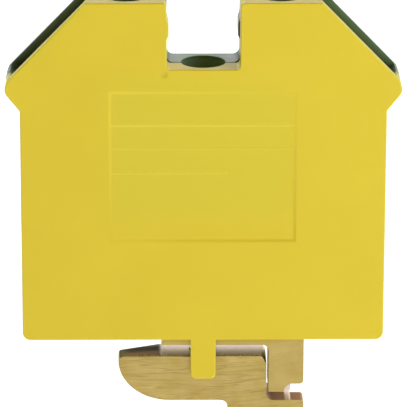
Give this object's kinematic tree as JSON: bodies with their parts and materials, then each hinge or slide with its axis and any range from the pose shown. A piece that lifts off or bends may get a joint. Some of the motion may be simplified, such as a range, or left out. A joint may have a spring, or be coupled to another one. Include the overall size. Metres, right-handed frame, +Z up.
{
  "type": "din rail terminal block",
  "caption": "Slim green and yellow protective-earth terminal block with screw clamps and a brass foot that grips an asymmetric G-section rail.",
  "frame": {"origin": "centre of the bounding box's bottom: on the rail screw's axis, mid thickness, at the foot's lowest face", "axes": "+Z up, away from the rail; +X towards the fixed brass jaw and the rail's low lip; -Y is the yellow front side; the rail runs along Y"},
  "size_m": [0.0514, 0.008, 0.0585],
  "materials": {
    "yellow_plastic": "moulded polyamide, satin",
    "green_plastic": "moulded polyamide, satin",
    "tinned_copper": "tin-plated",
    "brass": "bare sawn brass with fine lines",
    "zinc_steel": "zinc-plated"
  },
  "bodies": {
    "housing": {"front_shell": "yellow_plastic", "rear_shell": "green_plastic", "current_bar": "tinned_copper", "rail_contact_jaw": "brass", "rail_screw_washer": "zinc_steel"},
    "rail_screw": {"rail_screw": "zinc_steel"},
    "rail_foot": {"rail_foot": "brass"},
    "left_clamp_screw": {"left_clamp_screw": "zinc_steel"},
    "left_clamp_yoke": {"left_clamp_yoke": "zinc_steel"},
    "right_clamp_screw": {"right_clamp_screw": "zinc_steel"},
    "right_clamp_yoke": {"right_clamp_yoke": "zinc_steel"}
  },
  "joints": [
    {"name": "rail_screw_turn", "type": "hinge", "parent": "housing", "child": "rail_screw", "pos_m": [0, 0, 0.0188], "axis": [0, 0, -1], "range_deg": [-720, 480]},
    {"name": "rail_foot_slide", "type": "slide", "parent": "housing", "child": "rail_foot", "axis": [0, 0, 1], "range_m": [-0.0012, 0.0008]},
    {"name": "left_clamp_turn", "type": "hinge", "parent": "housing", "child": "left_clamp_screw", "pos_m": [-0.01, 0, 0.0524], "axis": [0, 0, -1], "range_deg": [0, 2070]},
    {"name": "left_yoke_slide", "type": "slide", "parent": "housing", "child": "left_clamp_yoke", "axis": [0, 0, 1], "range_m": [0, 0.00345]},
    {"name": "right_clamp_turn", "type": "hinge", "parent": "housing", "child": "right_clamp_screw", "pos_m": [0.01, 0, 0.0524], "axis": [0, 0, -1], "range_deg": [0, 2070]},
    {"name": "right_yoke_slide", "type": "slide", "parent": "housing", "child": "right_clamp_yoke", "axis": [0, 0, 1], "range_m": [0, 0.00345]}
  ],
  "couplings": [
    {"joint": "rail_screw_turn", "follows": "rail_foot_slide", "rad_per_m": 10472},
    {"joint": "left_clamp_turn", "follows": "left_yoke_slide", "rad_per_m": 10472},
    {"joint": "right_clamp_turn", "follows": "right_yoke_slide", "rad_per_m": 10472}
  ]
}
